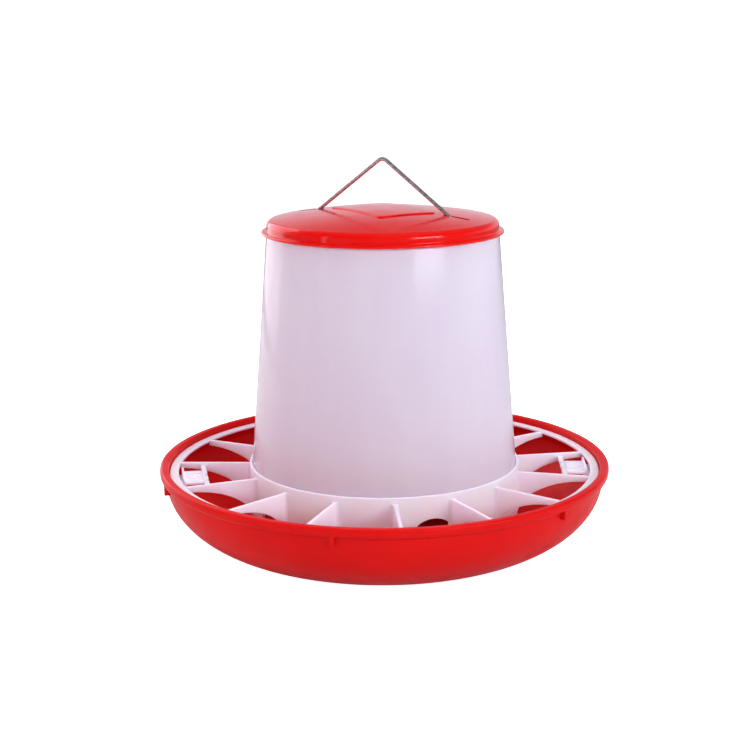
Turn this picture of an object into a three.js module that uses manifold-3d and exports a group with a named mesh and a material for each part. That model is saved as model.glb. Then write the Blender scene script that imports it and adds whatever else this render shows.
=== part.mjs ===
// A hanging poultry feeder: a red pan with a feed-saver guard, a milky hopper, a lid and a wire bail.
// Millimetres, +Z up. The origin is the centre of the pan's flat underside.
import * as THREE from "three";
import { mergeVertices } from "three/addons/utils/BufferGeometryUtils.js";
import Module from "manifold-3d";

const wasm = await Module();
wasm.setup();

// ---------------------------------------------------------------- driving dimensions
const SEGMENTS = 48; // facets round every turned piece
const GAP = 0.3; // clearance between pieces that touch on the real feeder

const RIM_Z = 66; // height of the pan's rim, the level that the other heights are counted from
const PAN_R = 180; // outside of the rolled rim
const PAN_WALL_R = 175.5; // outside of the wall just under the rim
const PAN_FOOT_R = 92.5; // edge of the flat underside
const PAN_WALL = 2.4;
const PAN_FLOOR = 2.2;
const RIM_DROP = 9; // depth of the rolled rim's outer skirt
const RIM_SKIN = 2; // thickness of the rim's top and skirt
const LEDGE_R = 170.3; // inside of the bead that the guard's ring rests on
const LEDGE_DROP = 7; // bead's top below the rim
const MOUTH_R = 172.9; // pan's inside above the bead
const LUG_COUNT = 6;
const LUG_AZIMUTH = -72; // first lug, degrees from the front (-Y) towards +X
const LUG = { width: 4, inner: 174.8, outer: 179.6, drop: 13.5 };

const CONE_R = 84;
const CONE_TOP = RIM_Z - 19;
const CONE_NOSE_R = 14;
const CONE_WALL = 2;

const COLLAR_R = 108.3;
const COLLAR_WALL = 2;
const COLLAR_DROP = 43; // collar's lower edge below the rim
const SEAT_DROP = 10.3; // hopper's seat below the rim
const SEAT_R = 102.5;
const SEAT_THICK = 2;
const PORT_COUNT = 5;
const PORT_AZIMUTH = 19.8;
const PORT_HALF = 17.5; // half width of the arched feed ports
const PORT_RISE = 15; // height of their elliptical crowns
const PORT_TOP = 18; // crown of the ports below the rim

const FIN_COUNT = 15;
const FIN_AZIMUTH = 4.2;
const FIN_THICK = 2.6;
const FIN_TOP = 4.6; // top edges of the fins and the ring below the rim
const FIN_OUTER_DEPTH = 4.8;
const RING_INNER = 165.2;
const RING_OUTER = 172;
const RING_THICK = 2;

const LATCH_BAYS = { left: -3.5, right: 3.5 }; // in bays from the first fin
const LATCH_TOP = 7; // top of the latch plates below the rim
const LATCH_THICK = 2;
const LATCH_INNER = 142.5;
const LATCH_ROOT = 146.5; // where the tongue bends
const LATCH_TIP = 162.4;
const LATCH_HALF = 16; // half width of the tongue
const LATCH_LIP = 3.4; // height of the finger lip above the tongue
const LATCH_NOSE = 168.5; // reach of the catch under the ring

const HOPPER_BASE_R = 106;
const HOPPER_TOP_R = 91.1;
const HOPPER_TOP = 183.3; // shoulder under the lid, above the rim
const HOPPER_WALL = 2;
const NECK_R = 88.4;
const NECK_TOP = 190;
const NECK_WALL = 2.2;

const LID_BRIM_R = 94.7;
const LID_BRIM_THICK = 2.2;
const LID_SKIRT_R = 90.7;
const LID_BOTTOM = 183.6;
const LID_SHOULDER_R = 4.8;
const LID_APEX = 202;
const LID_DOME_R = 485;
const LID_WALL = 1.8;
const PANEL = { length: 76, width: 51, corner: 4, rise: 0.9, azimuth: -59 };

const BAIL_AZIMUTH = -26; // plane of the bail, degrees from +X
const WIRE_R = 1.5;
const WIRE_SIDES = 8;
const WIRE_STEPS = 80;
const BAIL_TOP = 241.6; // outside of the bend above the rim
const BAIL_BEND_R = 6;
const BAIL_FOOT = 57; // leg's distance from the axis where it meets the lid
const BAIL_FOOT_Z = 198;
const HOOK_R = 2.9;
const HOOK_END = 44;
const SLOT = { inner: 51.5, outer: 73.5, width: 5 };

// ---------------------------------------------------------------- helpers
const deg = THREE.MathUtils.degToRad;
const point = (x, y) => new THREE.Vector2(x, y);

// Round stretch of a profile: an ellipse about (cx, cy) from one angle to another, in degrees.
function arc(cx, cy, rx, ry, from, to, steps) {
  const points = [];
  for (let i = 0; i <= steps; i++) {
    const a = deg(from + ((to - from) * i) / steps);
    points.push(point(cx + rx * Math.cos(a), cy + ry * Math.sin(a)));
  }
  return points;
}

// A profile of (radius, height) points turned about Z. A ring's profile is closed by repeating its start.
function turned(profile, segments = SEGMENTS) {
  return new THREE.LatheGeometry(profile, segments).rotateX(Math.PI / 2);
}

function ring(profile, segments = SEGMENTS) {
  return turned([...profile, profile[0].clone()], segments);
}

// A flat outline drawn in X and Y, raised from z = low to z = high.
function raised(shape, low, high, curveSegments = 6) {
  const depth = high - low;
  const geometry = new THREE.ExtrudeGeometry(shape, { depth, bevelEnabled: false, curveSegments });
  return geometry.translate(0, 0, low);
}

// An outline drawn in radius and height, with its thickness centred on the local X axis.
function upright(shape, thickness, curveSegments = 8) {
  const options = { depth: thickness, bevelEnabled: false, curveSegments };
  const geometry = new THREE.ExtrudeGeometry(shape, options);
  return geometry.rotateX(Math.PI / 2).translate(0, thickness / 2, 0);
}

function roundedRectangle(length, width, corner) {
  const x = length / 2 - corner;
  const y = width / 2 - corner;
  const shape = new THREE.Shape();
  shape.absarc(x, y, corner, 0, Math.PI / 2, false);
  shape.absarc(-x, y, corner, Math.PI / 2, Math.PI, false);
  shape.absarc(-x, -y, corner, Math.PI, 1.5 * Math.PI, false);
  shape.absarc(x, -y, corner, 1.5 * Math.PI, 2 * Math.PI, false);
  return shape;
}

// Turns a piece drawn along +X to its azimuth, counted from the front (-Y) towards +X.
const turnTo = (azimuth) => deg(azimuth - 90);

function toSolid(geometry) {
  const bare = geometry.clone();
  bare.deleteAttribute("normal");
  bare.deleteAttribute("uv");
  const merged = mergeVertices(bare, 1e-4);
  const vertProperties = new Float32Array(merged.attributes.position.array);
  const triVerts = new Uint32Array(merged.index.array);
  return new wasm.Manifold(new wasm.Mesh({ numProp: 3, vertProperties, triVerts }));
}

function toGeometry(solid) {
  const mesh = solid.getMesh();
  const geometry = new THREE.BufferGeometry();
  geometry.setAttribute("position", new THREE.BufferAttribute(mesh.vertProperties, 3));
  geometry.setIndex(new THREE.BufferAttribute(mesh.triVerts, 1));
  geometry.computeVertexNormals();
  return geometry;
}

// ---------------------------------------------------------------- materials
const plastic = (color, roughness) => new THREE.MeshStandardMaterial({ color, roughness, metalness: 0 });
const RED_PAN = plastic(0xd8140f, 0.38);
const RED_LID = plastic(0xe0120c, 0.22);
const WHITE_GUARD = plastic(0xeee4f4, 0.4);
const MILKY = plastic(0xdbcae4, 0.3);
const WIRE = new THREE.MeshStandardMaterial({ color: 0x9aa0a4, roughness: 0.35, metalness: 0.9 });

const feeder = new THREE.Group();

function add(name, geometry, material, azimuth = null) {
  const mesh = new THREE.Mesh(geometry, material);
  mesh.name = name;
  if (azimuth !== null) mesh.rotation.z = turnTo(azimuth);
  feeder.add(mesh);
}

// ---------------------------------------------------------------- pan and spreader cone
function pan() {
  const wallDepth = RIM_Z - RIM_DROP;
  const bowlR = PAN_WALL_R - PAN_FOOT_R;
  const innerWallDepth = wallDepth - PAN_FLOOR;
  const innerWallR = bowlR - PAN_WALL;
  const round = 1.8;
  const skirtInner = PAN_R - RIM_SKIN;
  const underTop = RIM_Z - RIM_SKIN;
  const ledgeTop = RIM_Z - LEDGE_DROP;
  const profile = [
    point(0, 0),
    ...arc(PAN_FOOT_R, wallDepth, bowlR, wallDepth, -90, 0, 9),
    point(PAN_WALL_R, underTop),
    point(skirtInner, underTop),
    point(skirtInner, wallDepth),
    point(PAN_R, wallDepth),
    ...arc(PAN_R - round, RIM_Z - round, round, round, 0, 90, 3),
    ...arc(MOUTH_R + round, RIM_Z - round, round, round, 90, 180, 3),
    point(MOUTH_R, ledgeTop),
    point(LEDGE_R, ledgeTop),
    point(LEDGE_R, ledgeTop - 2.5),
    ...arc(PAN_FOOT_R, wallDepth, innerWallR, innerWallDepth, -4, -90, 8),
    point(0, PAN_FLOOR),
  ];
  let solid = toSolid(turned(profile));
  const length = LUG.outer - LUG.inner;
  const lugBottom = RIM_Z - LUG.drop;
  const height = underTop + 0.5 - lugBottom;
  for (let i = 0; i < LUG_COUNT; i++) {
    const lug = new THREE.BoxGeometry(length, LUG.width, height);
    lug.translate(LUG.inner + length / 2, 0, lugBottom + height / 2);
    lug.rotateZ(turnTo(LUG_AZIMUTH + (360 / LUG_COUNT) * i));
    solid = solid.add(toSolid(lug));
  }
  return toGeometry(solid);
}

function spreaderCone() {
  const foot = PAN_FLOOR + GAP;
  const rimTop = foot + 1.6;
  const noseZ = CONE_TOP - 3;
  const profile = [
    point(CONE_R, foot),
    point(CONE_R, rimTop),
    point(CONE_NOSE_R, noseZ),
    point(CONE_NOSE_R * 0.6, CONE_TOP - 0.8),
    point(0, CONE_TOP),
    point(0, CONE_TOP - CONE_WALL),
    point(CONE_NOSE_R * 0.6, CONE_TOP - CONE_WALL - 1),
    point(CONE_NOSE_R - 1, noseZ - CONE_WALL),
    point(CONE_R - 3, foot),
    point(CONE_R, foot),
  ];
  return turned(profile);
}

// ---------------------------------------------------------------- guard
function collar() {
  const top = RIM_Z;
  const bottom = RIM_Z - COLLAR_DROP;
  const seat = RIM_Z - SEAT_DROP;
  const inner = COLLAR_R - COLLAR_WALL;
  const profile = [
    point(COLLAR_R, bottom),
    point(COLLAR_R, top - 0.8),
    point(COLLAR_R - 0.8, top),
    point(inner, top),
    point(inner, seat),
    point(SEAT_R, seat),
    point(SEAT_R, seat - SEAT_THICK),
    point(inner, seat - SEAT_THICK),
    point(inner, bottom),
  ];
  let solid = toSolid(ring(profile));
  const spring = RIM_Z - PORT_TOP - PORT_RISE;
  const arch = new THREE.Shape();
  arch.moveTo(-PORT_HALF, bottom - 1);
  arch.lineTo(PORT_HALF, bottom - 1);
  arch.absellipse(0, spring, PORT_HALF, PORT_RISE, 0, Math.PI, false);
  arch.closePath();
  for (let i = 0; i < PORT_COUNT; i++) {
    const cutter = upright(arch, 30, 10);
    cutter.translate(0, -COLLAR_R, 0);
    cutter.rotateZ(deg(PORT_AZIMUTH + (360 / PORT_COUNT) * i));
    solid = solid.subtract(toSolid(cutter));
  }
  return toGeometry(solid);
}

function guardRing() {
  const top = RIM_Z - FIN_TOP;
  const bottom = top - RING_THICK;
  return ring([
    point(RING_INNER, bottom),
    point(RING_OUTER, bottom),
    point(RING_OUTER, top),
    point(RING_INNER, top),
  ]);
}

// A fin is deepest at the collar, and its lower edge arches out to the ring.
function fin() {
  const inner = COLLAR_R + GAP;
  const outer = RING_INNER - 2 * GAP;
  const top = RIM_Z - FIN_TOP;
  const bottom = RIM_Z - COLLAR_DROP;
  const rise = top - FIN_OUTER_DEPTH - bottom;
  const shape = new THREE.Shape();
  shape.moveTo(outer, top);
  shape.lineTo(inner, top);
  shape.absellipse(outer, bottom, outer - inner, rise, Math.PI, Math.PI / 2, true);
  shape.closePath();
  return upright(shape, FIN_THICK);
}

// Distance from a bay's middle line to the fin's face, at a radius.
const bayHalf = (radius) => {
  const half = Math.PI / FIN_COUNT;
  return radius * Math.tan(half) - FIN_THICK / 2 / Math.cos(half) - 2 * GAP;
};

// The fixed bar of a latch crosses the bay at the tongue's root, and its inner edge is notched.
function latchPlate() {
  const outer = LATCH_ROOT - GAP;
  const notch = 2.6;
  const shape = new THREE.Shape();
  shape.moveTo(LATCH_INNER, -bayHalf(LATCH_INNER));
  shape.lineTo(outer, -bayHalf(outer));
  shape.lineTo(outer, bayHalf(outer));
  shape.lineTo(LATCH_INNER, bayHalf(LATCH_INNER));
  for (const y of [10, -4]) {
    shape.lineTo(LATCH_INNER, y + 3);
    shape.lineTo(LATCH_INNER + notch, y);
    shape.lineTo(LATCH_INNER, y - 3);
  }
  shape.closePath();
  const top = RIM_Z - LATCH_TOP;
  return raised(shape, top - LATCH_THICK, top);
}

// The spring tongue: a ribbed pad with a finger lip at its free end and a catch that reaches under the ring.
function latchTongue() {
  const top = RIM_Z - LATCH_TOP;
  const bottom = top - LATCH_THICK;
  const stem = LATCH_TIP - 2.4;
  const noseTop = bottom - 1;
  const noseBottom = bottom - 4;
  const outline = new THREE.Shape();
  outline.moveTo(LATCH_ROOT, bottom);
  outline.lineTo(stem, bottom);
  outline.lineTo(stem, noseBottom);
  outline.lineTo(LATCH_NOSE - 2.5, noseBottom);
  outline.lineTo(LATCH_NOSE, noseTop - 1);
  outline.lineTo(LATCH_NOSE, noseTop);
  outline.lineTo(LATCH_TIP, noseTop);
  outline.lineTo(LATCH_TIP, top + LATCH_LIP);
  outline.lineTo(LATCH_TIP - 1.6, top + LATCH_LIP);
  outline.lineTo(LATCH_TIP - 1.6, top);
  outline.lineTo(LATCH_ROOT, top);
  outline.closePath();
  let solid = toSolid(upright(outline, 2 * LATCH_HALF));
  const ribLength = LATCH_TIP - 3 - LATCH_ROOT - 1;
  for (const y of [-9.5, 0, 9.5]) {
    const rib = new THREE.BoxGeometry(ribLength, 1.6, 1.4);
    rib.translate(LATCH_ROOT + 1 + ribLength / 2, y, top + 0.3);
    solid = solid.add(toSolid(rib));
  }
  return toGeometry(solid);
}

// ---------------------------------------------------------------- hopper, lid and bail
function hopper() {
  const base = RIM_Z - SEAT_DROP + GAP;
  const shoulder = RIM_Z + HOPPER_TOP;
  const innerNeck = NECK_R - NECK_WALL;
  return ring([
    point(HOPPER_BASE_R, base),
    point(HOPPER_BASE_R, RIM_Z),
    point(HOPPER_TOP_R, shoulder - 1),
    point(HOPPER_TOP_R - 1, shoulder),
    point(NECK_R, shoulder),
    point(NECK_R, RIM_Z + NECK_TOP - 0.6),
    point(NECK_R - 0.6, RIM_Z + NECK_TOP),
    point(innerNeck, RIM_Z + NECK_TOP),
    point(innerNeck, shoulder - 2),
    point(HOPPER_TOP_R - HOPPER_WALL, shoulder - 4),
    point(HOPPER_BASE_R - HOPPER_WALL, RIM_Z),
    point(HOPPER_BASE_R - HOPPER_WALL, base),
  ]);
}

// Half section of the lid's outside, or of its inside when an offset is given, from the skirt to the axis.
function domeProfile(offset) {
  const centreR = LID_SKIRT_R - LID_SHOULDER_R;
  const domeZ = RIM_Z + LID_APEX - LID_DOME_R;
  const shoulderZ = domeZ + Math.sqrt(LID_DOME_R ** 2 - centreR ** 2) - LID_SHOULDER_R;
  const round = LID_SHOULDER_R - offset;
  const tilt = THREE.MathUtils.radToDeg(Math.asin(centreR / LID_DOME_R));
  const domeR = LID_DOME_R - offset;
  return [
    ...arc(centreR, shoulderZ, round, round, 0, 80, 4),
    ...arc(0, domeZ, domeR, domeR, 90 - tilt + 0.6, 90, 5),
  ];
}

function lid() {
  const bottom = RIM_Z + LID_BOTTOM;
  const brimTop = bottom + LID_BRIM_THICK;
  const outer = toSolid(
    turned([
      point(0, bottom),
      point(LID_BRIM_R - 0.6, bottom),
      point(LID_BRIM_R, bottom + 0.8),
      point(LID_BRIM_R - 0.6, brimTop - 0.4),
      point(LID_SKIRT_R + 0.8, brimTop),
      point(LID_SKIRT_R, brimTop + 0.8),
      ...domeProfile(0),
    ]),
  );
  const below = bottom - 1;
  const innerR = LID_SKIRT_R - LID_WALL;
  const inside = toSolid(turned([point(0, below), point(innerR, below), ...domeProfile(LID_WALL)]));
  const roof = RIM_Z + LID_APEX + 5;
  const block = raised(roundedRectangle(PANEL.length, PANEL.width, PANEL.corner), bottom + 8, roof);
  block.rotateZ(deg(PANEL.azimuth));
  const foot = [point(0, bottom), point(LID_SKIRT_R, bottom)];
  const higher = toSolid(turned([...foot, ...domeProfile(-PANEL.rise)]));
  let solid = outer.add(toSolid(block).intersect(higher)).subtract(inside);
  for (const turn of [0, 180]) {
    const outline = roundedRectangle(SLOT.outer - SLOT.inner, SLOT.width, SLOT.width / 2 - 0.01);
    const slot = raised(outline, below, roof);
    slot.translate((SLOT.outer + SLOT.inner) / 2, 0, 0);
    slot.rotateZ(deg(BAIL_AZIMUTH + turn));
    solid = solid.subtract(toSolid(slot));
  }
  return toGeometry(solid);
}

// Half of the bail's centre line in its own plane, as (distance from the axis, height above the rim).
function bailHalf() {
  const top = BAIL_TOP - WIRE_R;
  const run = BAIL_FOOT;
  const lean = Math.atan2(run, top + 1.6 - BAIL_FOOT_Z);
  const leanDeg = THREE.MathUtils.radToDeg(lean);
  const bend = arc(0, top - BAIL_BEND_R, BAIL_BEND_R, BAIL_BEND_R, 90, leanDeg, 4);
  const hookStart = BAIL_FOOT_Z + 0.6;
  const startR = BAIL_FOOT - 0.6 * Math.tan(lean);
  const centreR = startR - HOOK_R * Math.cos(lean);
  const centreZ = hookStart - HOOK_R * Math.sin(lean);
  const hook = arc(centreR, centreZ, HOOK_R, HOOK_R, leanDeg, -90, 5);
  return [...bend, ...hook, point(HOOK_END, centreZ - HOOK_R)];
}

function bail() {
  const half = bailHalf();
  const mirrored = half.slice(1).map((p) => point(-p.x, p.y));
  const path = [...mirrored.reverse(), ...half];
  const plane = deg(BAIL_AZIMUTH);
  const along = (p) => new THREE.Vector3(p.x * Math.cos(plane), p.x * Math.sin(plane), RIM_Z + p.y);
  const curve = new THREE.CurvePath();
  for (let i = 1; i < path.length; i++) {
    curve.add(new THREE.LineCurve3(along(path[i - 1]), along(path[i])));
  }
  const section = new THREE.Shape();
  for (let i = 0; i < WIRE_SIDES; i++) {
    const a = (2 * Math.PI * i) / WIRE_SIDES;
    const move = i ? "lineTo" : "moveTo";
    section[move](WIRE_R * Math.cos(a), WIRE_R * Math.sin(a));
  }
  return new THREE.ExtrudeGeometry(section, { extrudePath: curve, steps: WIRE_STEPS, bevelEnabled: false });
}

// ---------------------------------------------------------------- assembly
const BAY = 360 / FIN_COUNT;

add("pan", pan(), RED_PAN);
add("spreader_cone", spreaderCone(), RED_PAN);
add("guard_collar", collar(), WHITE_GUARD);
add("guard_ring", guardRing(), WHITE_GUARD);
for (let i = 0; i < FIN_COUNT; i++) {
  const label = String(i + 1).padStart(2, "0");
  add(`guard_fin_${label}`, fin(), WHITE_GUARD, FIN_AZIMUTH + BAY * i);
}
for (const [side, bay] of Object.entries(LATCH_BAYS)) {
  const azimuth = FIN_AZIMUTH + BAY * bay;
  add(`latch_plate_${side}`, latchPlate(), WHITE_GUARD, azimuth);
  add(`latch_tongue_${side}`, latchTongue(), WHITE_GUARD, azimuth);
}
add("hopper", hopper(), MILKY);
add("lid", lid(), RED_LID);
add("bail", bail(), WIRE);

export default feeder;
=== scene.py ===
"""Looks for a hanging poultry feeder: red pan, white guard, milky hopper, red lid and wire bail.

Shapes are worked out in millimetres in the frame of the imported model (+Z up, origin under the
pan's centre) and become metres when a mesh is made. Azimuths are degrees from the front (-Y)
towards +X.
"""

import math

import bmesh
import bpy
from mathutils import Matrix, Vector


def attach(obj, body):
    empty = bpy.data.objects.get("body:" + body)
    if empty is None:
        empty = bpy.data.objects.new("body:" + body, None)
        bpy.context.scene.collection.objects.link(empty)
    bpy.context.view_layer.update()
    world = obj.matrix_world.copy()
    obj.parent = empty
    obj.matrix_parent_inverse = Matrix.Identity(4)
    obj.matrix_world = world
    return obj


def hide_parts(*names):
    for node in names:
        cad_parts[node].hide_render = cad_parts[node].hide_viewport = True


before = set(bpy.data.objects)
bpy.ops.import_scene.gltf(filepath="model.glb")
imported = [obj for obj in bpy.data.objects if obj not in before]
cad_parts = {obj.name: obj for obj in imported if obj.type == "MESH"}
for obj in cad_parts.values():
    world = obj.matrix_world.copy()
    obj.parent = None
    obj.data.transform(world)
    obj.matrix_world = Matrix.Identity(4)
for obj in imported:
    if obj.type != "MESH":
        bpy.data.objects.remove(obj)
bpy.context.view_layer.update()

MM = 0.001
TURN = 2 * math.pi
SEGMENTS = 240  # round every turned piece
SHARP_ANGLE = math.radians(38)

# ------------------------------------------------------------------ sizes, millimetres
RIM_Z = 66.0
PAN_R = 180.0
PAN_WALL_R = 175.5
PAN_FOOT_R = 92.5
PAN_WALL = 2.4
PAN_FLOOR = 2.2
PAN_RECESS = 0.9
PAN_DIMPLE_R, PAN_DIMPLE = 3.6, 0.5  # gate mark under the middle
PAN_STEP_INNER, PAN_STEP_OUTER = 26.0, 24.0  # foot ring's slope, in from the foot
RIM_DROP = 9.0
LEDGE_R = 170.3
LEDGE_DROP = 7.0
LEDGE_THICK = 2.5
MOUTH_R = 172.9
LUG_COUNT = 6
LUG_AZIMUTH = -72.0
LUG_INNER, LUG_OUTER, LUG_WIDTH, LUG_DROP = 174.8, 179.6, 4.0, 13.5
LUG_TOP_DROP = 1.2

CONE_R = 84.0
CONE_FOOT = 2.5
CONE_TOP = RIM_Z - 19
CONE_NOSE_R = 14.0
CONE_WALL = 2.0
CONE_LIP = 1.6  # height of the cone's outer edge

COLLAR_R = 108.3
COLLAR_WALL = 2.0
COLLAR_BOTTOM = RIM_Z - 43
SEAT_Z = RIM_Z - 10.3
SEAT_R = 102.5
SEAT_THICK = 2.0
PORT_COUNT = 5
PORT_AZIMUTH = 19.8
PORT_HALF = 17.5
PORT_RISE = 15.0
PORT_CROWN_Z = RIM_Z - 18

FIN_COUNT = 15
FIN_AZIMUTH = 4.2
FIN_HALF = 1.3
FIN_TOP = RIM_Z - 4.6
FIN_OUTER = 164.6
FIN_OUTER_DEPTH = 4.8
RING_INNER, RING_OUTER, RING_THICK = 165.2, 172.0, 2.0

BAY = 360 / FIN_COUNT
LATCH_AZIMUTH = {"left": FIN_AZIMUTH - 3.5 * BAY, "right": FIN_AZIMUTH + 3.5 * BAY}
LATCH_TOP = RIM_Z - 7
LATCH_THICK = 2.0
LATCH_INNER, LATCH_ROOT, LATCH_TIP, LATCH_NOSE = 142.5, 146.5, 162.4, 168.5
LATCH_HALF = 16.0
LATCH_LIP, LATCH_LIP_THICK = 3.4, 1.6
LATCH_CHAMFER = 1.0  # lets the tongue's root turn past the bar
LATCH_RIBS, LATCH_RIB_HALF = (-9.5, 0, 9.5), 0.9
LATCH_NOTCHES, LATCH_NOTCH_HALF, LATCH_NOTCH_DEPTH = (10, -4), 3, 2.6
HINGE_GAP = 0.12

HOPPER_BASE_R = 106.0
HOPPER_TOP_R = 91.1
HOPPER_SHOULDER = RIM_Z + 183.3
HOPPER_WALL = 2.0
NECK_R = 88.4
NECK_TOP = RIM_Z + 190
NECK_WALL = 2.2

LID_BOTTOM = RIM_Z + 183.6
LID_BRIM_R = 94.7
LID_BRIM_THICK = 2.2
LID_SKIRT_R = 90.7
LID_SHOULDER_R = 4.8
LID_APEX = RIM_Z + 202
LID_DOME_R = 485.0
LID_WALL = 1.8
PANEL_LENGTH, PANEL_WIDTH, PANEL_CORNER = 76.0, 51.0, 4.0
PANEL_RISE = 0.9
PANEL_APRON = 6.0  # the lid's mesh follows the panel this far out, then turns round
PANEL_ANGLE = -59.0  # from +X

BAIL_ANGLE = -26.0  # plane of the bail, from +X
SLOT_INNER, SLOT_OUTER, SLOT_HALF = 51.5, 73.5, 2.5
SLOT_LEVELS = ((LID_BOTTOM, 0), (263.6, 0), (266.0, 0.0), (266.7, 0.5), (275, 6.0))  # z, spread
WIRE_R = 1.5
BAIL_TOP = RIM_Z + 241.6
BAIL_BEND_R = 6.0
BAIL_TIP_GAP = 1.6  # the straight legs would meet this far above the bend
BAIL_FOOT = 57.0
BAIL_FOOT_Z = RIM_Z + 198
HOOK_R = 2.9
HOOK_LIFT = 0.6  # the hook's bend starts this far above the foot
HOOK_END = 44.0


# ------------------------------------------------------------------ mesh helpers
def clamp(value, low, high):
    return max(low, min(high, value))


def new_object(name, vertices, faces):
    """A mesh object from millimetre points, with every face turned outwards."""
    mesh = bpy.data.meshes.new(name)
    mesh.from_pydata([Vector(v) * MM for v in vertices], [], faces)
    bm = bmesh.new()
    bm.from_mesh(mesh)
    bmesh.ops.recalc_face_normals(bm, faces=bm.faces)
    bm.to_mesh(mesh)
    bm.free()
    piece = bpy.data.objects.new(name, mesh)
    bpy.context.scene.collection.objects.link(piece)
    return piece


def rounded(corners, closed=False, steps=4):
    """A path through (radius, height, fillet) corners, with each fillet drawn as a short arc."""
    path = []
    count = len(corners)
    for i, (x, y, fillet) in enumerate(corners):
        here = Vector((x, y))
        if fillet <= 0 or (not closed and i in (0, count - 1)):
            path.append((x, y))
            continue
        back = (Vector(corners[i - 1][:2]) - here).normalized()
        ahead = (Vector(corners[(i + 1) % count][:2]) - here).normalized()
        half = back.angle(ahead) / 2
        centre = here + (back + ahead).normalized() * fillet / math.sin(half)
        start = here + back * fillet / math.tan(half) - centre
        sweep = (here + ahead * fillet / math.tan(half) - centre).angle_signed(start)
        for k in range(steps + 1):
            a = sweep * k / steps
            path.append(
                (
                    centre.x + start.x * math.cos(a) - start.y * math.sin(a),
                    centre.y + start.x * math.sin(a) + start.y * math.cos(a),
                )
            )
    return path


def arc(cx, cy, rx, ry, start, end, steps):
    """Corners of an elliptical arc from one angle to another, in degrees, with no fillets."""
    angles = [math.radians(start + (end - start) * k / steps) for k in range(steps + 1)]
    return [(cx + rx * math.cos(a), cy + ry * math.sin(a), 0) for a in angles]


def loft(name, rings, closed):
    """A surface through rings of equal length, where a ring of one point is a pole."""
    vertices, places = [], []
    for ring in rings:
        places.append(range(len(vertices), len(vertices) + len(ring)))
        vertices.extend(ring)
    count = max(len(ring) for ring in rings)
    faces = []
    pairs = list(zip(places, places[1:]))
    if closed:
        pairs.append((places[-1], places[0]))
    for low, high in pairs:
        for k in range(count):
            n = (k + 1) % count
            face = [low[k % len(low)], low[n % len(low)], high[n % len(high)], high[k % len(high)]]
            face = list(dict.fromkeys(face))
            if len(face) > 2:
                faces.append(face)
    return new_object(name, vertices, faces)


def lathe(name, profile, closed=False, segments=SEGMENTS):
    """A profile of (radius, height) turned about Z."""
    rings = []
    for r, z in profile:
        if r < 1e-6:
            rings.append([(0, 0, z)])
            continue
        angles = [TURN * k / segments for k in range(segments)]
        rings.append([(r * math.cos(a), r * math.sin(a), z) for a in angles])
    return loft(name, rings, closed)


def capped(name, sections):
    """A solid through equal cross-sections, closed by a flat face at each end."""
    piece = loft(name, sections, False)
    bm = bmesh.new()
    bm.from_mesh(piece.data)
    bmesh.ops.holes_fill(bm, edges=[e for e in bm.edges if e.is_boundary])
    bmesh.ops.recalc_face_normals(bm, faces=bm.faces)
    bm.to_mesh(piece.data)
    bm.free()
    return piece


def prism(name, outline, low, high, bevel=0.0):
    """An outline in X and Y raised from one height to another, with its edges bevelled."""
    sections = [[(x, y, z) for x, y in outline] for z in (low, high)]
    piece = capped(name, sections)
    if bevel:
        soften(piece, bevel)
    return piece


def soften(piece, width, steps=2):
    """Bevels every edge sharper than the shading's crease angle."""
    bm = bmesh.new()
    bm.from_mesh(piece.data)
    edges = [e for e in bm.edges if e.calc_face_angle(0) > SHARP_ANGLE]
    bmesh.ops.bevel(
        bm,
        geom=edges,
        offset=width * MM,
        segments=steps,
        profile=0.5,
        affect="EDGES",
        clamp_overlap=True,
    )
    bmesh.ops.recalc_face_normals(bm, faces=bm.faces)
    bm.to_mesh(piece.data)
    bm.free()


def place(piece, azimuth):
    """Turns a piece drawn along +X to its azimuth."""
    piece.data.transform(Matrix.Rotation(math.radians(azimuth - 90), 4, "Z"))
    return piece


def combine(piece, others, operation):
    """Adds or cuts the other solids one after another, and removes them."""
    for other in others:
        step = piece.modifiers.new("combine", "BOOLEAN")
        step.operation = operation
        step.solver = "MANIFOLD"
        step.object = other
        bpy.context.view_layer.update()
        graph = bpy.context.evaluated_depsgraph_get()
        mesh = bpy.data.meshes.new_from_object(piece.evaluated_get(graph))
        piece.modifiers.clear()
        piece.data = mesh
        bpy.data.objects.remove(other)
    return piece


def finish_piece(piece, material, body, slot, *nodes):
    """Smooth shading with creases, a material, and the piece's place in the frame."""
    bm = bmesh.new()
    bm.from_mesh(piece.data)
    bmesh.ops.remove_doubles(bm, verts=bm.verts, dist=0.002 * MM)
    bm.to_mesh(piece.data)
    bm.free()
    piece.data.materials.clear()
    piece.data.materials.append(material)
    piece.data.shade_smooth()
    piece.data.set_sharp_from_angle(angle=SHARP_ANGLE)
    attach(piece, body)
    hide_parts(*nodes)
    return piece


# ------------------------------------------------------------------ materials
RANGE_SOCKETS = ("From Min", "From Max", "To Min", "To Max")
PAN_RED, PAN_RED_DARK = (0.70, 0.005, 0.004), (0.63, 0.003, 0.003)
LID_RED, LID_RED_DARK = (0.76, 0.006, 0.004), (0.71, 0.004, 0.003)
GUARD_WHITE, GUARD_SHADE = (0.95, 0.87, 1.0), (0.91, 0.82, 0.98)
MILKY_DENSE, MILKY_THIN = (0.85, 0.66, 0.96), (0.89, 0.72, 1.0)
ZINC_DARK, ZINC_LIGHT = (0.46, 0.47, 0.50), (0.68, 0.69, 0.72)
PAPER_DARK, PAPER_LIGHT = (0.86, 0.86, 0.87), (0.89, 0.89, 0.90)


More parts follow.
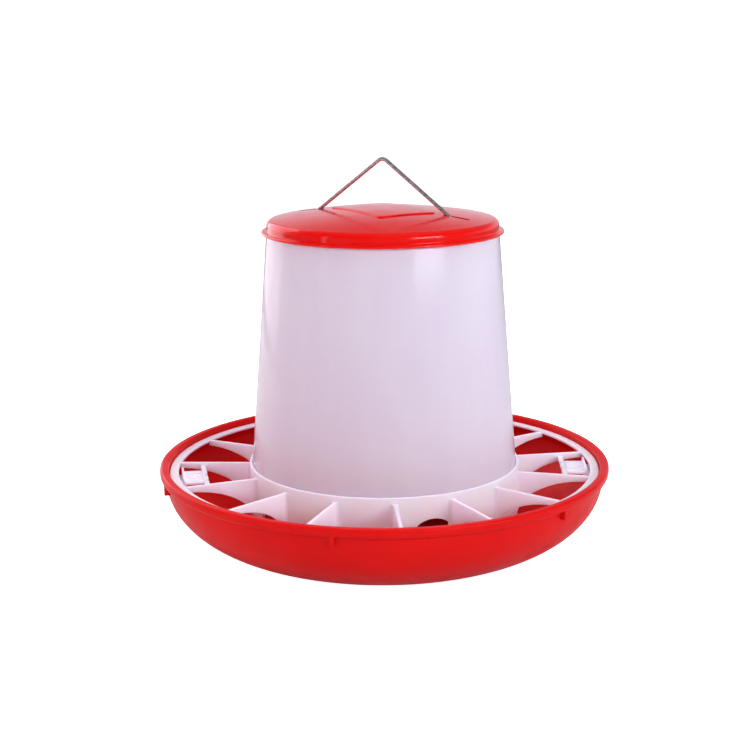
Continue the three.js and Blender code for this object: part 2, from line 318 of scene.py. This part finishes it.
class Nodes:
    """A material's node tree, with short calls for the nodes used here."""

    def __init__(self, name):
        self.material = bpy.data.materials.new(name)
        self.material.use_nodes = True
        self.tree = self.material.node_tree
        self.shader = self.tree.nodes["Principled BSDF"]
        self.coordinates = self.tree.nodes.new("ShaderNodeTexCoord").outputs["Object"]

    def link(self, source, target):
        self.tree.links.new(source, target)

    def stretched(self, x, y, z):
        """Object coordinates scaled along each axis."""
        node = self.tree.nodes.new("ShaderNodeMapping")
        node.inputs["Scale"].default_value = (x, y, z)
        self.link(self.coordinates, node.inputs["Vector"])
        return node.outputs["Vector"]

    def noise(self, scale, detail=3.0, vector=None, roughness=0.5):
        node = self.tree.nodes.new("ShaderNodeTexNoise")
        node.inputs["Scale"].default_value = scale
        node.inputs["Detail"].default_value = detail
        node.inputs["Roughness"].default_value = roughness
        self.link(vector or self.coordinates, node.inputs["Vector"])
        return node.outputs["Fac"]

    def ramp(self, value, low, high, start, end):
        """Maps low..high of a value to start..end, smoothly and clamped."""
        node = self.tree.nodes.new("ShaderNodeMapRange")
        node.interpolation_type = "SMOOTHSTEP"
        for socket, number in zip(RANGE_SOCKETS, (low, high, start, end)):
            node.inputs[socket].default_value = number
        self.link(value, node.inputs["Value"])
        return node.outputs["Result"]

    def blend(self, factor, first, second):
        node = self.tree.nodes.new("ShaderNodeMix")
        node.data_type = "RGBA"
        self.link(factor, node.inputs["Factor"])
        for socket, colour in ((node.inputs[6], first), (node.inputs[7], second)):
            if isinstance(colour, tuple):
                socket.default_value = (*colour, 1)
            else:
                self.link(colour, socket)
        return node.outputs[2]

    def arithmetic(self, operation, first, second):
        node = self.tree.nodes.new("ShaderNodeMath")
        node.operation = operation
        for socket, value in zip(node.inputs, (first, second)):
            if isinstance(value, float):
                socket.default_value = value
            else:
                self.link(value, socket)
        return node.outputs["Value"]

    def bump(self, height, distance, strength, normal=None):
        node = self.tree.nodes.new("ShaderNodeBump")
        node.inputs["Strength"].default_value = strength
        node.inputs["Distance"].default_value = distance
        self.link(height, node.inputs["Height"])
        if normal:
            self.link(normal, node.inputs["Normal"])
        return node.outputs["Normal"]


def moulded_plastic(name, light, dark, roughness, specular, grain, scratches):
    """Injection-moulded plastic: mottled colour, orange-peel skin, and fine handling scratches."""
    n = Nodes(name)
    shader = n.shader
    cloud = n.noise(14, 4)
    n.link(n.blend(n.ramp(cloud, 0.3, 0.7, 0, 1), dark, light), shader.inputs["Base Color"])
    streaks = n.noise(1, 2, n.stretched(1500, 160, 700), 0.6)
    marks = n.ramp(streaks, 0.66, 0.74, 0, scratches)
    patches = n.ramp(n.noise(40, 4), 0.35, 0.7, roughness - 0.05, roughness + 0.06)
    n.link(n.arithmetic("ADD", patches, marks), shader.inputs["Roughness"])
    peel = n.bump(n.noise(grain, 2), 0.0002, 0.12)
    waves = n.bump(n.noise(70, 1), 0.0008, 0.10, peel)
    n.link(waves, shader.inputs["Normal"])
    shader.inputs["Specular IOR Level"].default_value = specular
    return n


def scatter(nodes, weight, radius):
    """Light passing into the plastic and out again, over a radius in metres for each colour."""
    nodes.shader.inputs["Subsurface Weight"].default_value = weight
    nodes.shader.inputs["Subsurface Radius"].default_value = radius
    nodes.shader.inputs["Subsurface Scale"].default_value = 1.0


def make_materials():
    """Matt red pan, glossy red lid, white guard, milky hopper and galvanised wire."""
    pan = moulded_plastic("pan_plastic", PAN_RED, PAN_RED_DARK, 0.36, 0.10, 1400, 0.14)
    lid = moulded_plastic("lid_plastic", LID_RED, LID_RED_DARK, 0.12, 0.35, 900, 0.08)
    guard = moulded_plastic("guard_plastic", GUARD_WHITE, GUARD_SHADE, 0.34, 0.3, 1100, 0.10)
    scatter(guard, 0.6, (0.004, 0.0028, 0.004))

    milky = Nodes("hopper_plastic")
    flow = milky.noise(1, 4, milky.stretched(46, 46, 2.4), 0.55)
    cloud = milky.noise(9, 3)
    tone = milky.arithmetic("MULTIPLY_ADD", flow, 0.6)
    milky.link(cloud, tone.node.inputs[2])
    colour = milky.blend(milky.ramp(tone, 0.5, 1.1, 0, 1), MILKY_DENSE, MILKY_THIN)
    milky.link(colour, milky.shader.inputs["Base Color"])
    haze = milky.ramp(milky.noise(1, 3, milky.stretched(60, 60, 5)), 0.35, 0.7, 0.08, 0.13)
    milky.link(haze, milky.shader.inputs["Roughness"])
    skin = milky.bump(milky.noise(700, 2), 0.0002, 0.05)
    milky.link(milky.bump(flow, 0.0006, 0.18, skin), milky.shader.inputs["Normal"])
    milky.shader.inputs["Specular IOR Level"].default_value = 0.2
    scatter(milky, 0.85, (0.010, 0.0085, 0.010))

    wire = Nodes("galvanised_wire")
    spangle = wire.noise(420, 3)
    zinc = wire.blend(wire.ramp(spangle, 0.35, 0.65, 0, 1), ZINC_DARK, ZINC_LIGHT)
    wire.link(zinc, wire.shader.inputs["Base Color"])
    wire.link(wire.ramp(wire.noise(900, 3), 0.3, 0.7, 0.24, 0.42), wire.shader.inputs["Roughness"])
    wire.link(wire.bump(wire.noise(1600, 2), 0.0001, 0.2), wire.shader.inputs["Normal"])
    wire.shader.inputs["Metallic"].default_value = 0.8
    return {
        "pan": pan.material,
        "lid": lid.material,
        "guard": guard.material,
        "hopper": milky.material,
        "wire": wire.material,
    }


# ------------------------------------------------------------------ pan and spreader cone
def build_pan(material):
    """The bowl with its rolled rim, the bead that carries the guard, and the lugs under the rim."""
    wall_depth = RIM_Z - RIM_DROP
    bowl_r = PAN_WALL_R - PAN_FOOT_R
    ledge = RIM_Z - LEDGE_DROP
    inner_r = bowl_r - PAN_WALL
    inner_depth = wall_depth - PAN_FLOOR
    profile = rounded(
        [
            (0, PAN_RECESS - PAN_DIMPLE, 0),
            (PAN_DIMPLE_R - 0.4, PAN_RECESS - PAN_DIMPLE, 0.3),
            (PAN_DIMPLE_R, PAN_RECESS, 0.3),
            (PAN_FOOT_R - PAN_STEP_INNER, PAN_RECESS, 1.5),
            (PAN_FOOT_R - PAN_STEP_OUTER, 0, 1.5),
            *arc(PAN_FOOT_R, wall_depth, bowl_r, wall_depth, -90, -1, 44),
            (PAN_WALL_R, wall_depth + 1, 1.6),
            (PAN_R, wall_depth + 2.6, 2.6),
            (PAN_R, RIM_Z, 2.2),
            (MOUTH_R, RIM_Z, 1.8),
            (MOUTH_R, ledge, 0.4),
            (LEDGE_R, ledge, 0.5),
            (LEDGE_R, ledge - LEDGE_THICK, 0.8),
            *arc(PAN_FOOT_R, wall_depth, inner_r, inner_depth, -5, -90, 42),
            (0, PAN_FLOOR, 0),
        ],
        steps=5,
    )
    bowl = lathe("pan_bowl", profile)
    lugs = []
    for i in range(LUG_COUNT):
        outline = rounded(
            [
                (LUG_INNER, -LUG_WIDTH / 2, 0.2),
                (LUG_OUTER, -LUG_WIDTH / 2, 0.8),
                (LUG_OUTER, LUG_WIDTH / 2, 0.8),
                (LUG_INNER, LUG_WIDTH / 2, 0.2),
            ],
            closed=True,
        )
        lug = prism("lug", outline, RIM_Z - LUG_DROP, RIM_Z - LUG_TOP_DROP, 0.5)
        lugs.append(place(lug, LUG_AZIMUTH + 360 / LUG_COUNT * i))
    combine(bowl, lugs, "UNION")
    finish_piece(bowl, material, "pan", "pan_red", "pan")


def build_cone(material):
    """A low cone with a round nose on the pan's floor."""
    nose_z = CONE_TOP - 3
    profile = rounded(
        [
            (CONE_R - 3, CONE_FOOT, 0.3),
            (CONE_R, CONE_FOOT, 0.5),
            (CONE_R, CONE_FOOT + CONE_LIP, 0.8),
            (CONE_NOSE_R, nose_z, 10),
            (0, CONE_TOP, 0),
            (0, CONE_TOP - CONE_WALL, 0),
            (CONE_NOSE_R - 1, nose_z - CONE_WALL, 8),
        ],
        closed=True,
        steps=8,
    )
    cone = lathe("spreader", profile, closed=True)
    finish_piece(cone, material, "pan", "pan_red", "spreader_cone")


# ------------------------------------------------------------------ guard
def fin_sections():
    """Cross-sections of a fin, from its flared root in the collar's wall to its end in the ring."""
    root, flare = 0.7, 2.4
    travel = FIN_OUTER - COLLAR_R - 0.3
    rise = FIN_TOP - FIN_OUTER_DEPTH - COLLAR_BOTTOM
    near = [COLLAR_R + step for step in (-root, 0.02, 0.2, 0.5, 1.0, 1.7)]
    middle = [FIN_OUTER - travel * math.cos(math.radians(a)) for a in range(16, 87, 5)]
    sections = []
    for r in near + middle + [RING_INNER + root]:
        share = clamp((FIN_OUTER - r) / travel, 0, 1)
        bottom = COLLAR_BOTTOM + rise * math.sqrt(max(0.0, 1 - share**2))
        bottom = max(bottom, COLLAR_BOTTOM + 0.35)
        inside = clamp(COLLAR_R + flare - r, 0, flare)
        half = FIN_HALF + (flare - math.sqrt(flare**2 - inside**2))
        places = [(-half, bottom), (half, bottom), (half, FIN_TOP), (-half, FIN_TOP)]
        corners = [(y, z, 0.5) for y, z in places]
        sections.append([(r, y, z) for y, z in rounded(corners, closed=True, steps=3)])
    return sections


def bay_half(radius):
    """Half width of a bay at a radius, as far as the middle of the fins beside it."""
    return radius * math.tan(math.radians(BAY / 2)) - 0.4


def latch_bar():
    """The bar across a bay at the root of the latch's tongue, with a notched inner edge."""
    root = LATCH_ROOT - HINGE_GAP
    corners = [
        (LATCH_INNER, -bay_half(LATCH_INNER), 0.2),
        (root, -bay_half(root), 0.2),
        (root, bay_half(root), 0.2),
        (LATCH_INNER, bay_half(LATCH_INNER), 0.2),
    ]
    for middle in LATCH_NOTCHES:
        corners += [
            (LATCH_INNER, middle + LATCH_NOTCH_HALF, 0.5),
            (LATCH_INNER + LATCH_NOTCH_DEPTH, middle, 0.5),
            (LATCH_INNER, middle - LATCH_NOTCH_HALF, 0.5),
        ]
    outline = rounded(corners, closed=True, steps=3)
    return prism("latch_bar", outline, LATCH_TOP - LATCH_THICK, LATCH_TOP, 0.3)


def build_guard(material):
    """Collar, seat, fins, ring and latch plates: one moulding."""
    inner = COLLAR_R - COLLAR_WALL
    profile = rounded(
        [
            (COLLAR_R, COLLAR_BOTTOM, 0.5),
            (COLLAR_R, RIM_Z, 0.8),
            (inner, RIM_Z, 0.6),
            (inner, SEAT_Z, 0.3),
            (SEAT_R, SEAT_Z, 0.5),
            (SEAT_R, SEAT_Z - SEAT_THICK, 0.5),
            (inner, SEAT_Z - SEAT_THICK, 0.6),
            (inner, COLLAR_BOTTOM, 0.5),
        ],
        closed=True,
    )
    guard = lathe("guard_collar_and_fins", profile, closed=True)
    ports = []
    arch = [(-PORT_HALF, COLLAR_BOTTOM - 5), (PORT_HALF, COLLAR_BOTTOM - 5)]
    spring = PORT_CROWN_Z - PORT_RISE
    arch += [(x, z) for x, z, _ in arc(0, spring, PORT_HALF, PORT_RISE, 0, 180, 28)]
    for i in range(PORT_COUNT):
        port = capped("port", [[(r, y, z) for y, z in arch] for r in (inner - 12, COLLAR_R + 12)])
        ports.append(place(port, PORT_AZIMUTH + 360 / PORT_COUNT * i))
    combine(guard, ports, "DIFFERENCE")

    top = FIN_TOP
    bottom = FIN_TOP - RING_THICK
    places = [(RING_INNER, bottom), (RING_OUTER, bottom), (RING_OUTER, top), (RING_INNER, top)]
    corners = [(r, z, 0.5) for r, z in places]
    parts = [lathe("ring", rounded(corners, closed=True), closed=True)]
    for i in range(FIN_COUNT):
        parts.append(place(capped("fin", fin_sections()), FIN_AZIMUTH + BAY * i))
    for azimuth in LATCH_AZIMUTH.values():
        parts.append(place(latch_bar(), azimuth))
    combine(guard, parts, "UNION")
    nodes = ["guard_collar", "guard_ring", "latch_plate_left", "latch_plate_right"]
    nodes += [f"guard_fin_{i + 1:02d}" for i in range(FIN_COUNT)]
    finish_piece(guard, material, "hopper_unit", "guard_white", *nodes)


def build_tongues(material):
    """The spring tongues of the latches: a ribbed pad, a finger lip and a catch under the ring."""
    top = LATCH_TOP
    bottom = top - LATCH_THICK
    stem = LATCH_TIP - 2.4
    nose_top = bottom - 1
    nose_bottom = bottom - 4
    side_view = [
        (LATCH_ROOT, bottom + LATCH_CHAMFER),
        (LATCH_ROOT + LATCH_CHAMFER, bottom),
        (stem, bottom),
        (stem, nose_bottom),
        (LATCH_NOSE - 2.5, nose_bottom),
        (LATCH_NOSE, nose_top - 1.2),
        (LATCH_NOSE, nose_top),
        (LATCH_TIP, nose_top),
        (LATCH_TIP, top + LATCH_LIP),
        (LATCH_TIP - LATCH_LIP_THICK, top + LATCH_LIP),
        (LATCH_TIP - LATCH_LIP_THICK, top),
        (LATCH_ROOT, top),
    ]
    for side, azimuth in LATCH_AZIMUTH.items():
        sections = [[(r, y, z) for r, z in side_view] for y in (-LATCH_HALF, LATCH_HALF)]
        tongue = capped(f"latch_tongue_{side}_pad", sections)
        soften(tongue, 0.3)
        ribs = []
        start, end = LATCH_ROOT + 1, LATCH_TIP - 1.2
        for y in LATCH_RIBS:
            low, high = y - LATCH_RIB_HALF, y + LATCH_RIB_HALF
            outline = [(start, low), (end, low), (end, high), (start, high)]
            ribs.append(prism("rib", outline, top - 0.6, top + 1.0, 0.35))
        combine(tongue, ribs, "UNION")
        place(tongue, azimuth)
        finish_piece(tongue, material, f"latch_{side}", "guard_white", f"latch_tongue_{side}")


# ------------------------------------------------------------------ hopper
def build_hopper(material):
    """The tapered tube on its seat, with a step in to the neck that the lid fits over."""
    base = SEAT_Z + 0.3
    shoulder = HOPPER_SHOULDER
    inner_neck = NECK_R - NECK_WALL
    profile = rounded(
        [
            (HOPPER_BASE_R, base, 0.6),
            (HOPPER_BASE_R, RIM_Z, 6),
            (HOPPER_TOP_R, shoulder, 1.2),
            (NECK_R, shoulder, 0.4),
            (NECK_R, NECK_TOP, 0.6),
            (inner_neck, NECK_TOP, 0.6),
            (inner_neck, shoulder - 2, 1.2),
            (HOPPER_TOP_R - HOPPER_WALL, shoulder - 4, 1.2),
            (HOPPER_BASE_R - HOPPER_WALL, RIM_Z, 6),
            (HOPPER_BASE_R - HOPPER_WALL, base, 0.6),
        ],
        closed=True,
    )
    hopper = lathe("hopper_wall", profile, closed=True)
    finish_piece(hopper, material, "hopper_unit", "hopper_milky", "hopper")


# ------------------------------------------------------------------ lid
def dome_height(x, y, drop=0.0):
    """Height of the lid's dome, or of the surface that far below it."""
    return LID_APEX - LID_DOME_R + math.sqrt((LID_DOME_R - drop) ** 2 - x * x - y * y)


def panel_points(offset):
    """The raised panel's outline, moved outwards by an offset, in points spread by angle."""
    half_x, half_y = PANEL_LENGTH / 2, PANEL_WIDTH / 2
    flat_x, flat_y = half_x - PANEL_CORNER, half_y - PANEL_CORNER
    radius = PANEL_CORNER + offset
    end_angle = math.atan2(flat_y, half_x)
    side_angle = math.atan2(flat_x, half_y)
    points = []
    for quarter in range(4):
        turn = Matrix.Rotation(quarter * math.pi / 2, 2)
        if quarter % 2 == 0:
            reach, span, angle, steps = half_x, flat_y, end_angle, 24
        else:
            reach, span, angle, steps = half_y, flat_x, side_angle, 40
        corner = Vector((reach - PANEL_CORNER, span))
        for k in range(1, steps):
            a = angle * (2 * k / steps - 1)
            points.append(turn @ Vector((reach + offset, reach * math.tan(a))))
        for k in range(13):
            a = math.radians(90 * k / 12)
            points.append(turn @ (corner + Vector((radius * math.cos(a), radius * math.sin(a)))))
    return points


def lid_ring(offset, height):
    """A ring round the panel, with its height given by a function of x and y."""
    return [(p.x, p.y, height(p.x, p.y)) for p in panel_points(offset)]


def round_ring(radius, height):
    """A level circle, with a point at the angle of each point of the panel's outline."""
    angles = [math.atan2(p.y, p.x) for p in panel_points(0.0)]
    return [(radius * math.cos(a), radius * math.sin(a), height) for a in angles]


def morphed(offset, radius, share, drop):
    """A ring on the dome, part of the way from the panel's outline to a circle."""
    ring = []
    for p, q in zip(panel_points(offset), round_ring(radius, 0)):
        x = p.x + (q[0] - p.x) * share
        y = p.y + (q[1] - p.y) * share
        ring.append((x, y, dome_height(x, y, drop)))
    return ring


def build_lid(material):
    """Outside from the raised panel to the brim, then the inside back to the axis."""
    rings = [[(0, 0, LID_APEX + PANEL_RISE)]]
    for share in (0.2, 0.4, 0.6, 0.8, 0.93):
        flat = [(p.x * share, p.y * share) for p in panel_points(-0.5)]
        rings.append([(x, y, dome_height(x, y, -PANEL_RISE)) for x, y in flat])
    edge, foot = 0.4, 0.25
    quarter = [math.radians(a) for a in (0, 22.5, 45, 67.5, 90)]
    for a in quarter:
        fall = edge * (1 - math.cos(a))
        offset = edge * (math.sin(a) - 1)
        rings.append(lid_ring(offset, lambda x, y, f=fall: dome_height(x, y, -PANEL_RISE) - f))
    for a in quarter:
        rise = foot * (1 - math.sin(a))
        rings.append(lid_ring(foot * (1 - math.cos(a)), lambda x, y, h=rise: dome_height(x, y) + h))
    for offset in (1.0, 2.4, 4.0, PANEL_APRON):
        rings.append(lid_ring(offset, dome_height))
    shoulder_r = LID_SKIRT_R - LID_SHOULDER_R
    for k in range(1, 13):
        rings.append(morphed(PANEL_APRON, shoulder_r - 0.6, k / 12, 0))
    shoulder_z = dome_height(shoulder_r, 0) - LID_SHOULDER_R
    for angle in range(78, -1, -13):
        a = math.radians(angle)
        reach = shoulder_r + LID_SHOULDER_R * math.cos(a)
        rings.append(round_ring(reach, shoulder_z + LID_SHOULDER_R * math.sin(a)))
    brim_top = LID_BOTTOM + LID_BRIM_THICK
    inside_r = LID_SKIRT_R - LID_WALL
    brim = rounded(
        [
            (LID_SKIRT_R, shoulder_z - 0.2, 0),
            (LID_SKIRT_R, brim_top, 0.8),
            (LID_BRIM_R, brim_top - 0.25, 0.9),
            (LID_BRIM_R, LID_BOTTOM, 0.8),
            (inside_r, LID_BOTTOM, 0.5),
            (inside_r, shoulder_z - 0.2, 0),
        ]
    )
    rings += [round_ring(r, z) for r, z in brim]
    inner_round = LID_SHOULDER_R - LID_WALL
    for angle in range(0, 79, 13):
        a = math.radians(angle)
        reach = shoulder_r + inner_round * math.cos(a)
        rings.append(round_ring(reach, shoulder_z + inner_round * math.sin(a)))
    for k in range(12, -1, -1):
        rings.append(morphed(PANEL_APRON, shoulder_r - 0.6, k / 12, LID_WALL))
    for share in (0.75, 0.5, 0.25):
        flat = [(p.x * share, p.y * share) for p in panel_points(PANEL_APRON)]
        rings.append([(x, y, dome_height(x, y, LID_WALL)) for x, y in flat])
    rings.append([(0, 0, LID_APEX - LID_WALL)])
    shell = loft("lid_shell", rings, False)
    shell.data.transform(Matrix.Rotation(math.radians(PANEL_ANGLE), 4, "Z"))

    slots = []
    for turn in (0, 180):
        sections = []
        for z, spread in SLOT_LEVELS:
            half = SLOT_HALF + spread
            ends = (SLOT_INNER + SLOT_HALF, SLOT_OUTER - SLOT_HALF)
            outline = [(x, y) for x, y, _ in arc(ends[1], 0, half, half, -90, 90, 12)]
            outline += [(x, y) for x, y, _ in arc(ends[0], 0, half, half, 90, 270, 12)]
            sections.append([(x, y, z) for x, y in outline])
        slot = capped("slot", sections)
        slot.data.transform(Matrix.Rotation(math.radians(BAIL_ANGLE + turn), 4, "Z"))
        slots.append(slot)
    combine(shell, slots, "DIFFERENCE")
    finish_piece(shell, material, "lid", "lid_red", "lid")


# ------------------------------------------------------------------ bail
def bail_path():
    """The wire's centre line from hook to hook: distance along the bail's plane, and height."""
    top = BAIL_TOP - WIRE_R
    lean = math.atan2(BAIL_FOOT, top + BAIL_TIP_GAP - BAIL_FOOT_Z)
    lean_deg = math.degrees(lean)
    bend_z = top - BAIL_BEND_R
    bend = [(x, z) for x, z, _ in arc(0, bend_z, BAIL_BEND_R, BAIL_BEND_R, 90, lean_deg, 12)]
    start_r = BAIL_FOOT - HOOK_LIFT * math.tan(lean)
    centre_r = start_r - HOOK_R * math.cos(lean)
    centre_z = BAIL_FOOT_Z + HOOK_LIFT - HOOK_R * math.sin(lean)
    hook = [(x, z) for x, z, _ in arc(centre_r, centre_z, HOOK_R, HOOK_R, lean_deg, -90, 16)]
    half = list(bend)
    for k in range(1, 24):
        share = k / 24
        half.append(tuple(a + (b - a) * share for a, b in zip(bend[-1], hook[0])))
    half += hook
    for k in range(1, 5):
        half.append((hook[-1][0] + (HOOK_END - hook[-1][0]) * k / 4, hook[-1][1]))
    return [(-x, z) for x, z in reversed(half[1:])] + half


def build_bail(material):
    """The wire swept along its path, with a small chamfer at each cut end."""
    path = [Vector((x, 0, z)) for x, z in bail_path()]
    sides = 20
    cut_share, cut_length = 0.72, 0.45
    across = Vector((0, 1, 0))
    sections = []
    for i, middle in enumerate(path):
        along = (path[min(i + 1, len(path) - 1)] - path[max(i - 1, 0)]).normalized()
        up = along.cross(across)
        ends = [(0, 1.0)]
        if i == 0:
            ends = [(0, cut_share), (cut_length, 1.0)]
        elif i == len(path) - 1:
            ends = [(-cut_length, 1.0), (0, cut_share)]
        for shift, share in ends:
            centre = middle + along * shift
            ring = []
            for k in range(sides):
                a = TURN * k / sides
                spoke = across * math.cos(a) + up * math.sin(a)
                ring.append(tuple(centre + spoke * WIRE_R * share))
            sections.append(ring)
    wire = capped("bail_wire", sections)
    wire.data.transform(Matrix.Rotation(math.radians(BAIL_ANGLE), 4, "Z"))
    finish_piece(wire, material, "bail", "wire_galvanised", "bail")


# ------------------------------------------------------------------ studio
CAMERA_PLACE = (0.0, -1.1729, 0.4096)
CAMERA_PITCH = math.radians(13.2)
CAMERA_YAW = -0.0059
CAMERA_ROLL = -0.0072
CAMERA_LENS = 72.33
FLOOR_Z = -0.4  # just clear of the pan's foot, millimetres
FLOOR_GLOW = 0.94  # keeps the floor as pale as the photo's backdrop
FLOOR_BOUNCE = (0.78, 0.78, 0.80)
KEY_RADIANCE = 9.0


def add_camera():
    """The photo's viewpoint: a little above the lid, looking down at the pan."""
    forward = Vector(
        (
            math.sin(CAMERA_YAW) * math.cos(CAMERA_PITCH),
            math.cos(CAMERA_YAW) * math.cos(CAMERA_PITCH),
            -math.sin(CAMERA_PITCH),
        )
    )
    right = Vector((math.cos(CAMERA_YAW), -math.sin(CAMERA_YAW), 0))
    up = right.cross(forward)
    side = right * math.cos(CAMERA_ROLL) + up * math.sin(CAMERA_ROLL)
    top = side.cross(forward)
    data = bpy.data.cameras.new("camera")
    data.sensor_width = 36
    data.lens = CAMERA_LENS
    camera = bpy.data.objects.new("camera", data)
    turn = Matrix((side, top, -forward)).transposed().to_4x4()
    camera.matrix_world = Matrix.Translation(CAMERA_PLACE) @ turn
    bpy.context.scene.collection.objects.link(camera)
    bpy.context.scene.camera = camera


def add_softbox(name, place, target, width, height, radiance, colour=(1, 1, 1), reflected=True):
    """A softbox, by the brightness of its face. A fill light isn't seen in reflections."""
    data = bpy.data.lights.new(name, "AREA")
    data.shape = "RECTANGLE"
    data.size = width
    data.size_y = height
    data.energy = radiance * math.pi * width * height
    data.color = colour
    lamp = bpy.data.objects.new(name, data)
    aim = (Vector(target) - Vector(place)).to_track_quat("-Z", "Y")
    lamp.matrix_world = Matrix.Translation(place) @ aim.to_matrix().to_4x4()
    lamp.visible_camera = False
    lamp.visible_glossy = reflected
    bpy.context.scene.collection.objects.link(lamp)


def around(azimuth, distance, height):
    """A place in metres round the feeder, by its azimuth from the front towards +X."""
    a = math.radians(azimuth)
    return (distance * math.sin(a), -distance * math.cos(a), height)


def add_world():
    """White low behind the object, fading upwards and to the front to keep the front's colour."""
    world = bpy.data.worlds.new("studio")
    bpy.context.scene.world = world
    world.use_nodes = True
    tree = world.node_tree
    back = tree.nodes["Background"]
    direction = tree.nodes.new("ShaderNodeTexCoord")
    split = tree.nodes.new("ShaderNodeSeparateXYZ")
    tree.links.new(direction.outputs["Generated"], split.inputs["Vector"])

    def graded(axis, limits):
        shade = tree.nodes.new("ShaderNodeMapRange")
        shade.interpolation_type = "SMOOTHSTEP"
        for socket, number in zip(RANGE_SOCKETS, limits):
            shade.inputs[socket].default_value = number
        tree.links.new(split.outputs[axis], shade.inputs["Value"])
        return shade.outputs["Result"]

    product = tree.nodes.new("ShaderNodeMath")
    product.operation = "MULTIPLY"
    tree.links.new(graded("Y", (-0.4, 0.6, 0.05, 0.8)), product.inputs[0])
    tree.links.new(graded("Z", (0.12, 0.5, 1.0, 0.25)), product.inputs[1])
    tree.links.new(product.outputs["Value"], back.inputs["Strength"])
    back.inputs["Color"].default_value = (0.90, 0.91, 1.0, 1)
    white = tree.nodes.new("ShaderNodeBackground")
    white.inputs["Color"].default_value = (1, 1, 1, 1)
    white.inputs["Strength"].default_value = 1.05
    path = tree.nodes.new("ShaderNodeLightPath")
    mix = tree.nodes.new("ShaderNodeMixShader")
    tree.links.new(path.outputs["Is Camera Ray"], mix.inputs["Fac"])
    tree.links.new(back.outputs["Background"], mix.inputs[1])
    tree.links.new(white.outputs["Background"], mix.inputs[2])
    tree.links.new(mix.outputs["Shader"], tree.nodes["World Output"].inputs["Surface"])


def add_floor():
    """A pale floor, a wide disc just under the pan."""
    rings = [[(0, 0, FLOOR_Z)]]
    for radius in (300, 900, 2000, 4000):
        angles = [TURN * k / 96 for k in range(96)]
        rings.append([(radius * math.cos(a), radius * math.sin(a), FLOOR_Z) for a in angles])
    floor = loft("floor", rings, closed=False)
    bm = bmesh.new()
    bm.from_mesh(floor.data)
    if sum(face.normal.z for face in bm.faces) < 0:
        bmesh.ops.reverse_faces(bm, faces=bm.faces)
    bm.to_mesh(floor.data)
    bm.free()
    nodes = Nodes("floor_paper")
    shader = nodes.shader
    paper = nodes.blend(nodes.ramp(nodes.noise(6, 3), 0.3, 0.7, 0, 1), PAPER_DARK, PAPER_LIGHT)
    nodes.link(paper, shader.inputs["Base Color"])
    shader.inputs["Roughness"].default_value = 0.95
    shader.inputs["Specular IOR Level"].default_value = 0.0
    shader.inputs["Emission Color"].default_value = (1, 1, 1, 1)
    shader.inputs["Emission Strength"].default_value = FLOOR_GLOW
    tree = nodes.tree
    bounce = tree.nodes.new("ShaderNodeBsdfDiffuse")
    bounce.inputs["Color"].default_value = (*FLOOR_BOUNCE, 1)
    path = tree.nodes.new("ShaderNodeLightPath")
    mix = tree.nodes.new("ShaderNodeMixShader")
    nodes.link(path.outputs["Is Camera Ray"], mix.inputs["Fac"])
    nodes.link(bounce.outputs["BSDF"], mix.inputs[1])
    nodes.link(shader.outputs["BSDF"], mix.inputs[2])
    nodes.link(mix.outputs["Shader"], tree.nodes["Material Output"].inputs["Surface"])
    floor.data.materials.append(nodes.material)


def add_lights():
    """Two key boxes at the right, a rim light and a strip at the left, and soft fills all round."""
    aim = (0, 0, 0.15)
    blue, warm = (0.88, 0.92, 1.0), (1.0, 0.86, 0.92)
    add_softbox("key_lower", around(43, 1.5, 0.50), aim, 0.76, 0.18, KEY_RADIANCE, blue)
    add_softbox("key_upper", around(43, 1.5, 0.86), aim, 0.76, 0.30, KEY_RADIANCE, blue)
    add_softbox("back_left", around(-133, 1.2, 0.60), aim, 1.12, 1.2, 1.8, warm)
    add_softbox("strip_left", around(-57, 1.5, 0.55), aim, 0.10, 1.2, 1.8)
    add_softbox("overhead", (0.0, 0.0, 1.7), (0, 0, 0), 1.5, 1.5, 2.4, reflected=False)
    add_softbox("fill_right", around(75, 1.5, 0.45), aim, 1.5, 1.2, 1.6, blue, reflected=False)
    add_softbox("fill_left", around(-55, 1.5, 0.40), aim, 1.5, 1.1, 2.0, warm, reflected=False)
    add_softbox("fill_front", around(5, 1.7, 0.90), aim, 1.6, 0.9, 1.3, reflected=False)


# ------------------------------------------------------------------ assembly
bpy.context.scene.view_settings.view_transform = "Standard"
add_camera()
add_world()
add_floor()
add_lights()

materials = make_materials()
build_pan(materials["pan"])
build_cone(materials["pan"])
build_guard(materials["guard"])
build_tongues(materials["guard"])
build_hopper(materials["hopper"])
build_lid(materials["lid"])
build_bail(materials["wire"])
